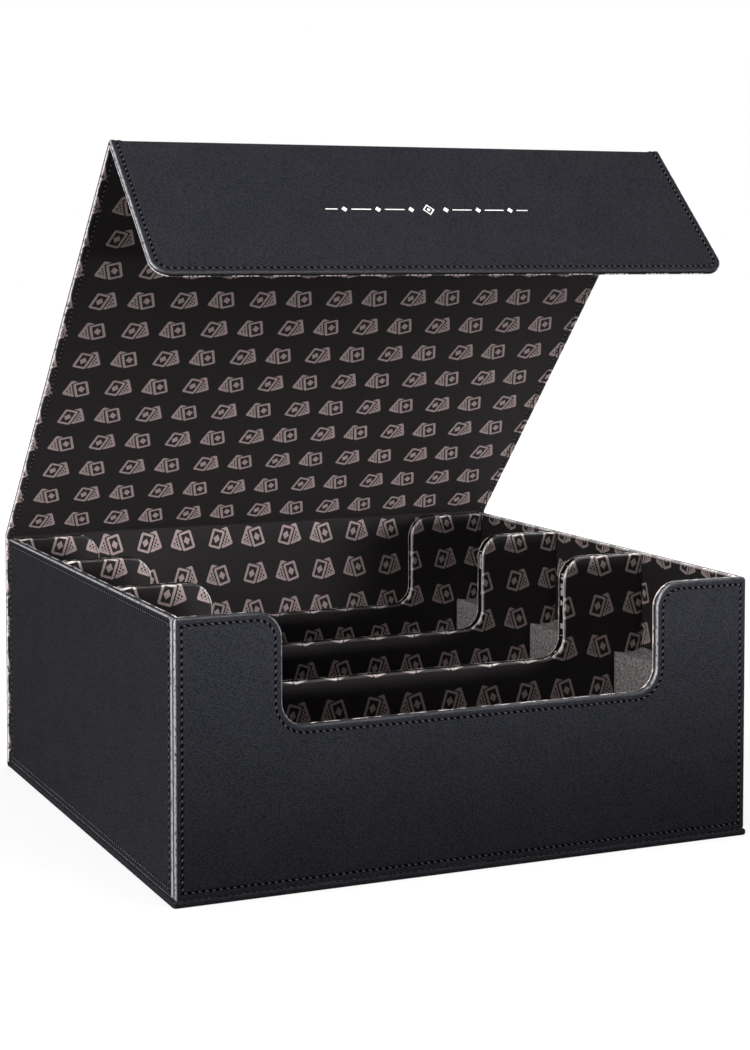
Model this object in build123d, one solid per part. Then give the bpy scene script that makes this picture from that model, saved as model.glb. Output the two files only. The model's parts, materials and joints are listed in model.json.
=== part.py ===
from build123d import *
import os

# Trading card storage box: a leatherette-covered tray with three card rows, glued into
# a one-piece cover of four stiff panels (base, back, lid and front flap).
# The lid swings on a soft fold at the top of the back panel, the flap on a second fold
# at the lid's front edge, and a foam block slides along each row.
# Millimetres, +X to the box's right, +Y to its back, +Z up. The origin is on the table
# under the middle of the whole box as it stands with its lid open.

# Driving dimensions
body_width = 288.0          # tray, left to right
body_depth = 278.5          # tray, front to back
body_height = 125.0         # rim above the table
front_thick = 5.0
side_thick = 3.6
rear_thick = 6.0
divider_thick = 7.0
cover_thick = 2.8           # base, back, lid and flap panels
cover_overhang = 1.2        # each side of the tray
base_lip = 0.6              # base in front of the tray
flap_length = 88.0          # fold to free edge
lid_opening = 46.3          # lid above level, as it stands open

skin = 0.8                  # leatherette
lining = 0.5                # printed inner sheet
skin_share = 0.55           # of a panel's edge that the skin covers before the lining meets it
floor_board_thick = 2.0

cutout_width = 189.0        # front, dividers and rear panel alike
cutout_floor = 74.0         # its lower edge above the table
cutout_shoulder_r = 12.0
cutout_corner_r = 11.0

block_length = 17.0         # foam block, along the row
block_top = 76.4            # above the table
block_side_gap = 0.4        # to each panel beside the row
block_lift = 0.3            # over the floor lining
block_edge_r = 2.0

hinge_r = cover_thick / 2   # both folds are as thick as the panels
fold_gap = 0.3              # from a fold to the panel that turns about it
rim_gap = 0.3               # from the closed lid to the rim
flap_gap = 0.3              # from the closed flap to the front panel
flap_corner_r = 9.0
cover_corner_r = 2.0
base_fold_r = 1.6

panel_edge_r = 1.2          # wrapped panel edges
cover_edge_r = 0.9

magnet_r = 6.0
magnet_thick = 1.2
magnet_up = 14.0            # from the flap's free edge
magnet_in = 40.0            # from the flap's ends, outer pair
magnet_pitch = 70.0         # outer to inner magnet
plate_thick = 0.8

near = 1e-4                 # how close an edge or corner lies to a place that picks it out

# Derived sizes
base_top = cover_thick
cover_width = body_width + 2 * cover_overhang
half_body = body_width / 2
half_cover = cover_width / 2
front_y = -(body_depth + cover_thick - base_lip) / 2
rear_y = front_y + body_depth
back_outer_y = rear_y + cover_thick
row_depth = (body_depth - front_thick - rear_thick - 2 * divider_thick) / 3
inner_half = half_body - side_thick
floor_top = base_top + floor_board_thick + lining

hinge_y = rear_y + hinge_r
hinge_z = body_height + rim_gap + hinge_r
fold_y = front_y - flap_gap - hinge_r          # with the lid closed
lid_reach = hinge_y - fold_y                   # hinge axis to fold axis
panel_start = hinge_r + fold_gap               # from a fold's axis to the panel

os.makedirs("parts", exist_ok=True)


def save(name, shape):
    export_step(shape, f"parts/{name}.step")


def block(x0, x1, y0, y1, z0, z1):
    """A plain box between two corners."""
    return Pos((x0 + x1) / 2, (y0 + y1) / 2, (z0 + z1) / 2) * Box(x1 - x0, y1 - y0, z1 - z0)


def rounded(solid, radius, *unrounded):
    """Rounds every edge of a panel except those that lie wholly on one of the given planes.
    Each plane is an axis and a place along it."""
    edges = solid.edges()
    for axis, place in unrounded:
        edges = [e for e in edges if not lies_on(e, axis, place)]
    return fillet(edges, radius)


def lies_on(edge, axis, place):
    low = getattr(edge.bounding_box().min, axis)
    high = getattr(edge.bounding_box().max, axis)
    return abs(low - place) < near and abs(high - place) < near


def cutout_outline(half_width, low, high, half_cut, floor, shoulder_r, corner_r):
    """A panel seen from the front, whose top edge has the wide, round-cornered cut-out."""

    def cut_corners(height):
        places = face.vertices()
        return [v for v in places if abs(abs(v.X) - half_cut) < near and abs(v.Y - height) < near]

    right = [(half_width, low), (half_width, high), (half_cut, high), (half_cut, floor)]
    left = [(-x, z) for x, z in reversed(right)]
    face = make_face(Polyline(*right, *left, close=True))
    face = fillet(cut_corners(high), shoulder_r)
    face = fillet(cut_corners(floor), corner_r)
    return Plane.XZ * face


def cutout_panel(half_width, low, y0, thick, inset=0.0):
    """A panel with the cut-out, standing from y0 back to y0 + thick. An inset shrinks it
    inside its wrapping, at its sides, top and cut-out."""
    outline = cutout_outline(half_width - inset, low, body_height - inset, cutout_width / 2 + inset,
                             cutout_floor - inset, cutout_shoulder_r - inset, cutout_corner_r + inset)
    return Pos(0, y0 + thick, 0) * extrude(outline, thick)


def build_front():
    whole = cutout_panel(half_body, base_top, front_y, front_thick)
    whole = rounded(whole, panel_edge_r, ("Z", base_top))
    core = cutout_panel(half_body, base_top, front_y + skin, front_thick - skin - lining, skin)
    seam_y = front_y + front_thick * skin_share
    wrap = whole - core
    front_half = block(-half_body, half_body, front_y, seam_y, base_top, body_height)
    save("front_skin", wrap & front_half)
    save("front_lining", wrap - front_half)
    plates = magnet_places(front_y + skin, plate_thick)
    save("front_board", core - plates)
    save("closure_plates", plates)


def magnet_places(y0, thick):
    """A row of four flat discs that face along Y, level with the closed flap's magnets."""
    z = hinge_z + hinge_r - flap_length + magnet_up
    outer = half_cover - magnet_in
    places = [-outer, -outer + magnet_pitch, outer - magnet_pitch, outer]
    discs = [Pos(x, y0 + thick / 2, z) * Rot(90, 0, 0) * Cylinder(magnet_r, thick) for x in places]
    return Compound(children=discs)


def build_side(name, sign):
    """A side wall, between the front panel and the back of the cover."""
    y0 = front_y + front_thick
    outer = sign * half_body
    inner = sign * inner_half
    x0, x1 = min(outer, inner), max(outer, inner)
    whole = rounded(block(x0, x1, y0, rear_y, base_top, body_height), panel_edge_r, ("Z", base_top))
    core_outer = outer - sign * skin
    core_inner = inner + sign * lining
    core = block(min(core_outer, core_inner), max(core_outer, core_inner), y0 + skin, rear_y - skin,
                 base_top, body_height - skin)
    wrap = whole - core
    seam_x = outer - sign * side_thick * skin_share
    outer_half = block(min(outer, seam_x), max(outer, seam_x), y0, rear_y, base_top, body_height)
    save(f"{name}_board", core)
    save(f"{name}_skin", wrap & outer_half)
    save(f"{name}_lining", wrap - outer_half)


def build_cross_panel(name, y0, thick):
    """A divider or the rear panel: a board with the lining folded over its top."""
    whole = cutout_panel(inner_half, floor_top, y0, thick)
    ends = [("Z", floor_top), ("X", inner_half), ("X", -inner_half)]
    whole = rounded(whole, panel_edge_r, *ends)
    core = cutout_panel(inner_half, floor_top, y0 + lining, thick - 2 * lining, lining)
    save(f"{name}_board", core)
    save(f"{name}_lining", whole - core)


def build_floor():
    y0 = front_y + front_thick
    board_top = base_top + floor_board_thick
    save("floor_board", block(-inner_half, inner_half, y0, rear_y, base_top, board_top))
    save("floor_lining", block(-inner_half, inner_half, y0, rear_y, board_top, floor_top))


def row_start(row):
    return front_y + front_thick + row * (row_depth + divider_thick)


def build_spacer(name, row):
    """A foam block, at rest against the right wall."""
    y0 = row_start(row) + block_side_gap
    y1 = row_start(row) + row_depth - block_side_gap
    x1 = inner_half - block_side_gap
    body = block(x1 - block_length, x1, y0, y1, floor_top + block_lift, block_top)
    save(name, fillet(body.edges(), block_edge_r))


def cover_panel(length, free_end_r=0.0):
    """One panel of the cover, flat: its length along +Y from 0, its outside up, and its
    mid-thickness at Z 0. Gives the board and the whole panel round it. A panel with a free
    end has its board closed in there, and the others are open at both folds."""
    whole = Pos(0, length / 2, 0) * Box(cover_width, length, cover_thick)
    core_length = length - skin if free_end_r else length
    core = Pos(0, core_length / 2, (lining - skin) / 2) * Box(
        cover_width - 2 * skin, core_length, cover_thick - skin - lining)
    if free_end_r:
        whole = round_free_end(whole, length, free_end_r)
        core = round_free_end(core, core_length, free_end_r - skin)
        return core, rounded(whole, cover_edge_r, ("Y", 0.0))
    return core, rounded(whole, cover_edge_r, ("Y", 0.0), ("Y", length))


def round_free_end(solid, length, radius):
    corners = [e for e in solid.edges().filter_by(Axis.Z) if e.center().Y > length - near]
    return fillet(corners, radius)


def split_wrap(core, whole, length):
    """Parts the wrapping of a panel into the skin outside and the lining inside."""
    wrap = whole - core
    seam_z = cover_thick * (0.5 - skin_share)
    upper = block(-half_cover, half_cover, 0, length, seam_z, cover_thick)
    return wrap & upper, wrap - upper


def open_lid(shape):
    """Turns a shape made in the closed lid's place to the lid as it stands open."""
    return shape.rotate(Axis((0, hinge_y, hinge_z), (1, 0, 0)), -lid_opening)


def fold_bar():
    """A fold of the cover: a round bar on the fold's axis, run on along +Y to its panel."""
    tongue = block(-half_cover, half_cover, 0, panel_start, -hinge_r, hinge_r)
    return Rot(0, 90, 0) * Cylinder(hinge_r, cover_width) + tongue


def build_base():
    """The base panel, outside down, and the glued fold behind it."""
    length = rear_y - front_y + base_lip
    core, whole = cover_panel(length, cover_corner_r)
    place = Pos(0, rear_y, cover_thick / 2) * Rot(180, 0, 0)
    save("cover_base_board", place * core)
    save("cover_base_skin", place * (whole - core))
    bar = block(-half_cover, half_cover, rear_y, back_outer_y, 0, base_top)
    corner = [e for e in bar.edges() if lies_on(e, "Y", back_outer_y) and lies_on(e, "Z", 0.0)]
    save("base_fold_strip", fillet(corner, base_fold_r))


def build_back():
    """The back panel, outside to the rear, from the base up to the lid's fold."""
    length = hinge_z - panel_start - base_top
    core, whole = cover_panel(length)
    outer, inner = split_wrap(core, whole, length)
    place = Pos(0, hinge_y, base_top) * Rot(90, 0, 0) * Rot(0, 180, 0)
    save("cover_back_board", place * core)
    save("cover_back_skin", place * outer)
    save("cover_back_lining", place * inner)


def build_lid():
    length = lid_reach - 2 * panel_start
    core, whole = cover_panel(length)
    outer, inner = split_wrap(core, whole, length)
    closed = Pos(0, hinge_y - panel_start, hinge_z) * Rot(0, 0, 180)
    save("lid_board", open_lid(closed * core))
    save("lid_skin", open_lid(closed * outer))
    save("lid_lining", open_lid(closed * inner))
    save("lid_hinge_strip", open_lid(Pos(0, hinge_y, hinge_z) * Rot(0, 0, 180) * fold_bar()))
    save("flap_fold_strip", open_lid(Pos(0, fold_y, hinge_z) * fold_bar()))


def build_flap():
    """The flap hangs square to the lid: straight down its front when the lid is closed."""
    length = flap_length - hinge_r - panel_start
    core, whole = cover_panel(length, flap_corner_r)
    outer, inner = split_wrap(core, whole, length)
    closed = Pos(0, fold_y, hinge_z - panel_start) * Rot(90, 0, 0) * Rot(0, 0, 180)
    magnets = magnet_places(fold_y + hinge_r - lining - magnet_thick, magnet_thick)
    save("flap_board", open_lid(closed * core - magnets))
    save("flap_skin", open_lid(closed * outer))
    save("flap_lining", open_lid(closed * inner))
    save("flap_magnets", open_lid(magnets))


build_base()
build_back()
build_lid()
build_flap()
build_front()
build_side("left_wall", -1)
build_side("right_wall", 1)
build_floor()
build_cross_panel("front_divider", row_start(1) - divider_thick, divider_thick)
build_cross_panel("rear_divider", row_start(2) - divider_thick, divider_thick)
build_cross_panel("tray_back", rear_y - rear_thick, rear_thick)
for row, place_name in enumerate(("front", "middle", "rear")):
    build_spacer(f"{place_name}_spacer_block", row)
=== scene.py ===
"""Dresses the trading card storage box: leatherette, printed lining, stitching, soft folds and
foam blocks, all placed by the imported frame. Metres throughout, +Z up."""

import json
import math

import bpy
import numpy as np
from mathutils import Matrix, Vector, noise


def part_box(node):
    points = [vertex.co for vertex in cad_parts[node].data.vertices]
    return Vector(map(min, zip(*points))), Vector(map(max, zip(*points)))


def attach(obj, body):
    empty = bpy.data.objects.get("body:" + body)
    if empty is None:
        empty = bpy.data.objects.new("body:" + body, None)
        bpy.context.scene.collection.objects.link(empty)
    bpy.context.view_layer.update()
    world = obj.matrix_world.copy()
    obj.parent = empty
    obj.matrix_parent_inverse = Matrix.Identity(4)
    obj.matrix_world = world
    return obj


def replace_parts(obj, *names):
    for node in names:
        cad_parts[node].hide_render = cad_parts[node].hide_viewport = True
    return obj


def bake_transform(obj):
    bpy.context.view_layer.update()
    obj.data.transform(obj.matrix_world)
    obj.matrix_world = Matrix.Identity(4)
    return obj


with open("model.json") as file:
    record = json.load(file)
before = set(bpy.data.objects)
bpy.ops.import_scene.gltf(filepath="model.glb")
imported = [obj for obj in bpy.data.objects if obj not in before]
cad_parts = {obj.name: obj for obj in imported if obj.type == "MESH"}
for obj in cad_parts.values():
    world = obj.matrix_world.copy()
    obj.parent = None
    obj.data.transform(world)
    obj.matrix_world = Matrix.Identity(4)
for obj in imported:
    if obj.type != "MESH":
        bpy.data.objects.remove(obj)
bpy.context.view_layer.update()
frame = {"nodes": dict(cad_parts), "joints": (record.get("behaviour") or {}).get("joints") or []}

bl_info = {
    "name": "Trading card storage box",
    "version": (1, 0, 0),
    "blender": (4, 5, 0),
    "location": "3D View > Sidebar > Card box",
    "description": "Leatherette, printed lining, stitching and foam for a card storage box",
    "category": "Object",
}

RIGHT, UP, BACK = Vector((1, 0, 0)), Vector((0, 0, 1)), Vector((0, 1, 0))


def mm(value):
    return value * 0.001


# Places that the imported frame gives
front_low, front_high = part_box("front_skin")
wall_low, wall_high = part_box("left_wall_skin")
base_low, base_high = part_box("cover_base_skin")
back_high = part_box("cover_back_skin")[1]
joints = {joint["name"]: joint for joint in frame["joints"]}
hinge_axis = Vector(joints["lid_hinge"]["pos_m"])
fold_axis = Vector(joints["flap_fold"]["pos_m"])

# Sizes that the frame doesn't give
cover_half = base_high.x                      # half the cover's width
panel_thick = base_high.z                     # base, back, lid and flap
half_thick = panel_thick / 2
skin_sheet = mm(0.8)
lining_sheet = mm(0.5)
skin_share = 0.55                             # of a panel's edge that the leatherette covers
fold_gap = mm(0.3)                            # from a fold to the panel that turns about it
panel_start = half_thick + fold_gap           # from a fold's axis to the panel
flap_length = mm(88)                          # from the lid's face to the free edge
flap_panel = flap_length - half_thick - panel_start
cut_half = mm(94.5)                           # half the cut-outs' width
cut_floor = mm(74)                            # their lower edge, above the table
shoulder_r = mm(12)
cut_corner_r = mm(11)
small_r = mm(1.6)                             # other corners of the tray's panels
flap_corner_r = mm(9)
cover_corner_r = mm(2)
base_edge_r = mm(1)
foam_edge_r = mm(1.3)
seam_drop = mm(3)                             # how far below 0 the edge map counts as seam

# How far the print is moved, so that its rows lie as they should
cover_print_across = mm(8.7)
flap_print_along = mm(9)
row_print_drop = mm(-5)                       # on the front, the dividers and the rear panel
wall_print_drop = mm(-10)

# How finely the meshes are cut
mesh_step = mm(1.6)
foam_step = mm(2.2)
corner_cuts = 8                               # a panel's round corner
bend_cuts = 6                                 # a fold's bend and the quarter circle of an edge
crease_angle, foam_crease_angle, foil_crease_angle = 50, 80, 30

# The lid as it stands open: along it from the hinge, and square out of its outer face
lid_along = (fold_axis - hinge_axis).normalized()
lid_out = lid_along.cross(RIGHT)
lid_reach = (fold_axis - hinge_axis).length

# The cover's straight panels: where each starts, its direction, its length and its body
straight_panels = {
    "back": (hinge_axis + UP * (base_high.z - hinge_axis.z), UP, back_high.z - base_high.z, "case"),
    "lid": (hinge_axis + lid_along * panel_start, lid_along, lid_reach - 2 * panel_start, "lid"),
}


# Settings

def color_setting(name, description, default):
    return bpy.props.FloatVectorProperty(
        name=name, description=description, default=default, subtype="COLOR", size=3, min=0, max=1)


def length_setting(name, description, default):
    return bpy.props.FloatProperty(name=name, description=description, default=default, unit="LENGTH")


class CardBoxLeather(bpy.types.PropertyGroup):
    """The leatherette outside"""
    color: color_setting("Colour", "Colour of the leatherette", (0.0226, 0.0231, 0.0274))
    # The crease colour is a painted highlight: the pale glint on the creases of the rolled edges
    crease: color_setting("Crease glint colour", "Colour of the pale glints painted on the creases of its edges", (0.30, 0.30, 0.33))
    roughness: bpy.props.FloatProperty(
        name="Roughness", description="How soft its sheen is", subtype="FACTOR", min=0, max=1, default=0.52)
    grain: length_setting("Grain", "Width of one pebble of its grain", mm(0.85))
    bead: length_setting("Edge radius", "Radius of the wrapped edges", mm(1.25))


class CardBoxLining(bpy.types.PropertyGroup):
    """The printed lining inside"""
    color: color_setting("Colour", "Colour between the prints", (0.0165, 0.0143, 0.0155))
    ink: color_setting("Ink", "Colour of the printed cards", (0.27, 0.212, 0.209))
    # The crease colour is a painted highlight: the pale glint on the creases of the rolled edges
    crease: color_setting("Crease glint colour", "Colour of the pale glints painted on the creases of its edges", (0.80, 0.72, 0.71))
    pitch: length_setting("Pitch", "Between one printed motif and the next", mm(21))
    line: length_setting("Line", "Width of the printed lines", mm(1.3))


class CardBoxStitching(bpy.types.PropertyGroup):
    """The sewn edges"""
    color: color_setting("Colour", "Colour of the thread", (0.036, 0.034, 0.034))
    pitch: length_setting("Pitch", "Between one needle hole and the next", mm(3.2))
    inset: length_setting("Inset", "From the edge to the stitching", mm(3.3))
    thread: length_setting("Thread", "Thickness of the thread", mm(0.56))


class CardBoxFoam(bpy.types.PropertyGroup):
    """The sliding foam blocks"""
    color: color_setting("Colour", "Colour of the foam", (0.20, 0.183, 0.182))
    dish: length_setting("Dish", "How far the top sinks between its ends", mm(1.6))


class CardBoxStudio(bpy.types.PropertyGroup):
    """Camera and light"""
    camera_place: bpy.props.FloatVectorProperty(
        name="Camera", description="Where the camera stands", subtype="XYZ", size=3,
        default=(-0.4364, -1.0055, 0.2821))
    turn: bpy.props.FloatProperty(
        name="Turn", description="From straight at the front towards the right", subtype="ANGLE",
        default=math.radians(24.03))
    tilt: bpy.props.FloatProperty(
        name="Tilt", description="Down from level", subtype="ANGLE", default=math.radians(2.96))
    focal_pixels: bpy.props.FloatProperty(
        name="Focal length", description="In pixels of a 750 by 1050 picture", default=2158.4)
    horizon_row: bpy.props.FloatProperty(
        name="Centre row", description="Row of the picture that the lens points at", default=360.0)


SETTINGS = {
    "card_box_leather": CardBoxLeather,
    "card_box_lining": CardBoxLining,
    "card_box_stitching": CardBoxStitching,
    "card_box_foam": CardBoxFoam,
    "card_box_studio": CardBoxStudio,
}


# Materials

class Nodes:
    """Adds nodes to a tree and links them. A link is a socket, and anything else is a value. A socket
    is given by its name, with _ for a space, or by i and its number."""

    def __init__(self, tree):
        self.tree = tree

    def feed(self, sockets, **values):
        for key, value in values.items():
            socket = sockets[int(key[1:]) if key[1:].isdigit() else key.replace("_", " ")]
            if isinstance(value, bpy.types.NodeSocket):
                self.tree.links.new(value, socket)
            else:
                socket.default_value = value

    def add(self, kind, settings=None, **inputs):
        node = self.tree.nodes.new(kind)
        for key, value in (settings or {}).items():
            setattr(node, key, value)
        self.feed(node.inputs, **inputs)
        return node

    def group(self, name, **inputs):
        return self.add("ShaderNodeGroup", {"node_tree": bpy.data.node_groups[name]}, **inputs).outputs

    def uv(self, name):
        return self.add("ShaderNodeUVMap", {"uv_map": name}).outputs[0]

    def place(self):
        return self.add("ShaderNodeTexCoord").outputs["Object"]

    def math(self, operation, *values):
        inputs = {f"i{k}": value for k, value in enumerate(values)}
        return self.add("ShaderNodeMath", {"operation": operation}, **inputs).outputs[0]

    def plus(self, a, b):
        return self.math("ADD", a, b)

    def minus(self, a, b):
        return self.math("SUBTRACT", a, b)

    def times(self, a, b):
        return self.math("MULTIPLY", a, b)

    def over(self, a, b):
        return self.math("DIVIDE", a, b)

    def least(self, a, b):
        return self.math("MINIMUM", a, b)

    def most(self, a, b):
        return self.math("MAXIMUM", a, b)

    def size(self, a):
        return self.math("ABSOLUTE", a)

    def centred(self, a):
        """Runs from -0.5 to 0.5 each time that a value grows by 1."""
        return self.minus(self.math("FRACT", a), 0.5)

    def vector(self, operation, a, b=(0, 0, 0)):
        node = self.add("ShaderNodeVectorMath", {"operation": operation}, i0=a, i1=b)
        return node.outputs["Value" if operation == "LENGTH" else "Vector"]

    def scale(self, vector, factor):
        node = self.add("ShaderNodeVectorMath", {"operation": "SCALE"}, i0=vector, Scale=factor)
        return node.outputs["Vector"]

    def stretch(self, vector, scale, rotation=(0, 0, 0)):
        return self.add("ShaderNodeMapping", Vector=vector, Rotation=rotation, Scale=scale).outputs[0]

    def split(self, vector):
        return self.add("ShaderNodeSeparateXYZ", i0=vector).outputs

    def join(self, x, y):
        return self.add("ShaderNodeCombineXYZ", i0=x, i1=y).outputs[0]

    def ramp(self, value, low, high, out_low=0.0, out_high=1.0):
        """Passes smoothly from one output to the other as the value goes from low to high."""
        node = self.add("ShaderNodeMapRange", {"interpolation_type": "SMOOTHSTEP"},
                        i0=value, i1=low, i2=high, i3=out_low, i4=out_high)
        return node.outputs[0]

    def fade(self, value, low, high):
        return self.ramp(value, low, high, 1.0, 0.0)

    def noise(self, vector, scale, detail=2.0, roughness=0.5):
        node = self.add("ShaderNodeTexNoise", Vector=vector, Scale=scale, Detail=detail, Roughness=roughness)
        return node.outputs["Fac"]

    def mix(self, factor, a, b):
        return self.add("ShaderNodeMix", {"data_type": "RGBA"}, Factor=factor, i6=a, i7=b).outputs[2]

    def bump(self, height, distance, normal=None):
        node = self.add("ShaderNodeBump", Height=height, Distance=distance, Strength=1.0)
        if normal is not None:
            self.feed(node.inputs, Normal=normal)
        return node.outputs[0]

    def background_rays(self):
        """1 for what the camera, a reflection or clear material sees, and 0 for other light."""
        rays = self.add("ShaderNodeLightPath").outputs
        return self.most(rays["Is Camera Ray"], self.most(rays["Is Glossy Ray"], rays["Is Transmission Ray"]))


def new_group(name, outputs, **inputs):
    """A node group that puts out masks and values. An input given as None is a vector, and the others
    are numbers."""
    tree = bpy.data.node_groups.new(name, "ShaderNodeTree")
    for key, value in inputs.items():
        kind = "NodeSocketVector" if value is None else "NodeSocketFloat"
        socket = tree.interface.new_socket(key.replace("_", " "), in_out="INPUT", socket_type=kind)
        if value is not None:
            socket.default_value = value
    for label in outputs:
        tree.interface.new_socket(label, in_out="OUTPUT", socket_type="NodeSocketFloat")
    nodes = Nodes(tree)
    return nodes, nodes.add("NodeGroupInput").outputs


def grain_group():
    """Fine pebbles with flat tops over slow, faint unevenness."""
    clouds_a_metre = 42.0
    nodes, given = new_group("Grain", ("Height", "Mottle"), Vector=None, Size=0.001)
    rate = nodes.over(1.0, given["Size"])
    warp = nodes.add("ShaderNodeTexNoise", Vector=given["Vector"], Scale=nodes.times(rate, 0.45), Detail=2.0)
    push = nodes.scale(warp.outputs["Color"], nodes.times(given["Size"], 0.9))
    moved = nodes.vector("ADD", given["Vector"], push)
    cells = nodes.add("ShaderNodeTexVoronoi", {"feature": "DISTANCE_TO_EDGE"}, Vector=moved, Scale=rate)
    pebble = nodes.ramp(cells.outputs["Distance"], 0.0, 0.32)
    fine = nodes.noise(given["Vector"], nodes.times(rate, 2.6), 3.0)
    height = nodes.plus(nodes.times(pebble, 0.7), nodes.times(fine, 0.5))
    slow = nodes.noise(given["Vector"], clouds_a_metre, 3.0, 0.6)
    nodes.add("NodeGroupOutput", Height=height, Mottle=slow)


def hole_group():
    """Slanted needle holes along the sewn edge, in a shallow groove. The vector holds the place along
    the edge, counted in stitches, and the distance in from it."""
    slant, hole_long, hole_wide = 0.3, 1.15, 0.62
    nodes, given = new_group("Needle holes", ("Hole", "Groove"), Vector=None, Inset=0.003, Pitch=0.003)
    along, inset, _ = nodes.split(given["Vector"])
    across = nodes.minus(inset, given["Inset"])
    length = nodes.times(nodes.centred(nodes.plus(along, 0.5)), given["Pitch"])
    slanted = nodes.plus(across, nodes.times(length, slant))
    reach = nodes.vector("LENGTH", nodes.join(nodes.over(length, hole_long), nodes.over(slanted, hole_wide)))
    hole = nodes.fade(reach, mm(0.7), mm(1.05))
    groove = nodes.fade(nodes.size(across), mm(0.2), mm(1.1))
    nodes.add("NodeGroupOutput", Hole=hole, Groove=groove)


def rim_group():
    """The rolled edge of a wrapped panel: a mask of its round, one of its creases, strongest on edges that
    face sideways, where the materials paint pale glints as a painted highlight, and one of the seam behind
    it, where they paint shade."""
    squeeze = 0.45                            # of the creases' pattern along the edge, which draws them out
    nodes, given = new_group("Rolled edge", ("Rim", "Crease", "Seam"),
                             Edge=None, Pitch=0.003, Crease_Size=0.001, Elsewhere=0.1)
    along, inset, _ = nodes.split(given["Edge"])
    # the seam behind the roll, where the materials paint shade
    seam = nodes.fade(inset, -seam_drop * 1.2, -seam_drop)
    rim = nodes.times(nodes.fade(inset, mm(0.4), mm(1.15)), nodes.minus(1.0, seam))
    # painted highlight: the pale glint is strongest where the edge faces sideways
    sideways = nodes.size(nodes.split(nodes.add("ShaderNodeNewGeometry").outputs["Normal"])[0])
    side = nodes.add("ShaderNodeMapRange", i0=sideways, i1=0.3, i2=0.8, i3=given["Elsewhere"], i4=1.0)
    drawn_out = nodes.join(nodes.times(along, nodes.times(given["Pitch"], squeeze)), inset)
    wrinkles = nodes.noise(drawn_out, nodes.over(1.0, given["Crease Size"]), 3.0, 0.6)
    on_round = nodes.ramp(inset, mm(-1.0), mm(-0.5), 0.2, 1.0)
    crease_and_glint_band = nodes.times(rim, nodes.times(side.outputs[0], on_round))
    crease = nodes.times(nodes.ramp(wrinkles, 0.34, 0.52), crease_and_glint_band)
    nodes.add("NodeGroupOutput", Rim=rim, Crease=crease, Seam=seam)


def card_outline(nodes, point, turn, shift, size, corner):
    """Distance to a tilted card's round-cornered edge, less than 0 inside it."""
    moved = nodes.vector("SUBTRACT", point, shift)
    rotate = nodes.add("ShaderNodeVectorRotate", {"rotation_type": "Z_AXIS"}, Vector=moved, Angle=turn)
    turned = rotate.outputs[0]
    over = nodes.vector("SUBTRACT", nodes.vector("ABSOLUTE", turned), (size[0] - corner, size[1] - corner, 0))
    x, y, _ = nodes.split(over)
    outside = nodes.vector("LENGTH", nodes.join(nodes.most(x, 0.0), nodes.most(y, 0.0)))
    inside = nodes.least(nodes.most(x, y), 0.0)
    return nodes.minus(nodes.plus(outside, inside), corner), turned


def hatching(nodes, point):
    """Distance to crossed slanting lines, less than 0 on them."""
    pitch, line = mm(2.7), mm(0.62)
    slope, square_share = 1.4, 0.58           # the second is how much of a step is square to the lines
    x, y, _ = nodes.split(point)
    families = []
    for operation in ("ADD", "SUBTRACT"):
        across = nodes.over(nodes.math(operation, nodes.times(x, slope), y), pitch)
        phase = nodes.size(nodes.centred(across))
        families.append(nodes.minus(nodes.times(phase, pitch * square_share), line / 2))
    return nodes.least(*families)


def print_group():
    """Pairs of fanned playing-size cards on a square grid, leaning left and right by turns."""
    size, corner, edge = (mm(3.7), mm(5.3)), mm(1.1), mm(0.12)
    near_lean, near_shift = 0.30, (mm(-1.6), 0, 0)
    far_lean, far_shift = -0.34, (mm(2.9), mm(0.5), 0)
    gem_half, gem_squash = mm(1.9), 0.75
    nodes, given = new_group("Card print", ("Ink",), Vector=None, Pitch=0.02, Line=0.001)
    x, y, _ = nodes.split(given["Vector"])
    column, row = nodes.over(x, given["Pitch"]), nodes.over(y, given["Pitch"])
    counted = nodes.plus(nodes.math("FLOOR", column), nodes.math("FLOOR", row))
    odd = nodes.math("MODULO", nodes.size(counted), 2.0)
    side = nodes.minus(nodes.times(odd, 2.0), 1.0)
    cell = nodes.join(nodes.times(nodes.centred(column), side), nodes.centred(row))
    point = nodes.scale(cell, given["Pitch"])
    near, near_point = card_outline(nodes, point, near_lean, near_shift, size, corner)
    far, far_point = card_outline(nodes, point, far_lean, far_shift, size, corner)
    half_line = nodes.times(given["Line"], 0.5)

    def ring(distance):
        return nodes.minus(nodes.size(nodes.plus(distance, half_line)), half_line)

    pattern = nodes.least(ring(far), nodes.most(far, hatching(nodes, far_point)))
    behind = nodes.most(pattern, nodes.minus(half_line, near))
    lozenge = nodes.split(nodes.vector("ABSOLUTE", near_point))
    gem = nodes.minus(nodes.plus(lozenge[0], nodes.times(lozenge[1], gem_squash)), gem_half)
    nearest = nodes.least(nodes.least(ring(near), behind), gem)
    nodes.add("NodeGroupOutput", Ink=nodes.fade(nearest, -edge, edge))


def new_material(name, color, roughness):
    """Adds a material, and gives its nodes and its shader's inputs."""
    material = bpy.data.materials.new(name)
    material.use_nodes = True
    material.diffuse_color = shade(color)
    nodes = Nodes(material.node_tree)
    shader = material.node_tree.nodes["Principled BSDF"].inputs
    nodes.feed(shader, Base_Color=shade(color), Roughness=roughness)
    return nodes, shader


def shade(color, factor=1.0):
    return (color[0] * factor, color[1] * factor, color[2] * factor, 1)


def shades(color, low, high):
    return shade(color, low), shade(color, high)


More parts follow.
